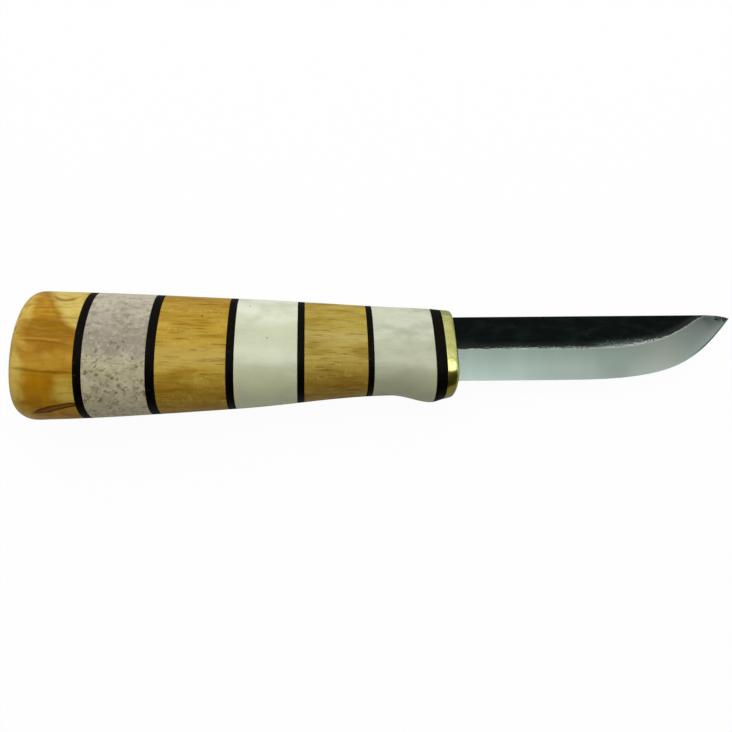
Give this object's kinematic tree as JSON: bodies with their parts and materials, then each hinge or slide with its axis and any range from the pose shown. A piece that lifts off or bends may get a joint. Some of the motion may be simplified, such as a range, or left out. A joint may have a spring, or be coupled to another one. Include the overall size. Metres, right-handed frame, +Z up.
{
  "type": "puukko knife",
  "caption": "Fixed-blade puukko knife: forged blade with ground bevels on a stick tang, brass bolster, and a stacked handle of birch, antler and black spacers.",
  "frame": {"origin": "on the table, under the middle of the box of the knife as it lies on its side", "axes": "+X from the butt to the tip of the blade, +Y from the cutting edge to the spine, +Z up from the table"},
  "size_m": [0.1852, 0.033, 0.0238],
  "materials": {
    "blade_steel": "satin ground bevels, black forge scale on the flats",
    "brass": "polished",
    "birch": "oiled",
    "curly_birch": "oiled, curly figure",
    "white_antler": "polished antler",
    "grey_antler": "polished porous antler",
    "black_spacer": "pressed and ground flush",
    "epoxy": "set adhesive"
  },
  "bodies": {
    "root": {"blade": "blade_steel", "bolster": "brass", "spacer_1": "black_spacer", "front_antler_block": "white_antler", "spacer_2": "black_spacer", "front_birch_block": "birch", "spacer_3": "black_spacer", "middle_antler_block": "white_antler", "spacer_4": "black_spacer", "middle_birch_block": "birch", "spacer_5": "black_spacer", "grey_antler_block": "grey_antler", "spacer_6": "black_spacer", "butt_block": "curly_birch", "tang_epoxy": "epoxy"}
  },
  "joints": []
}
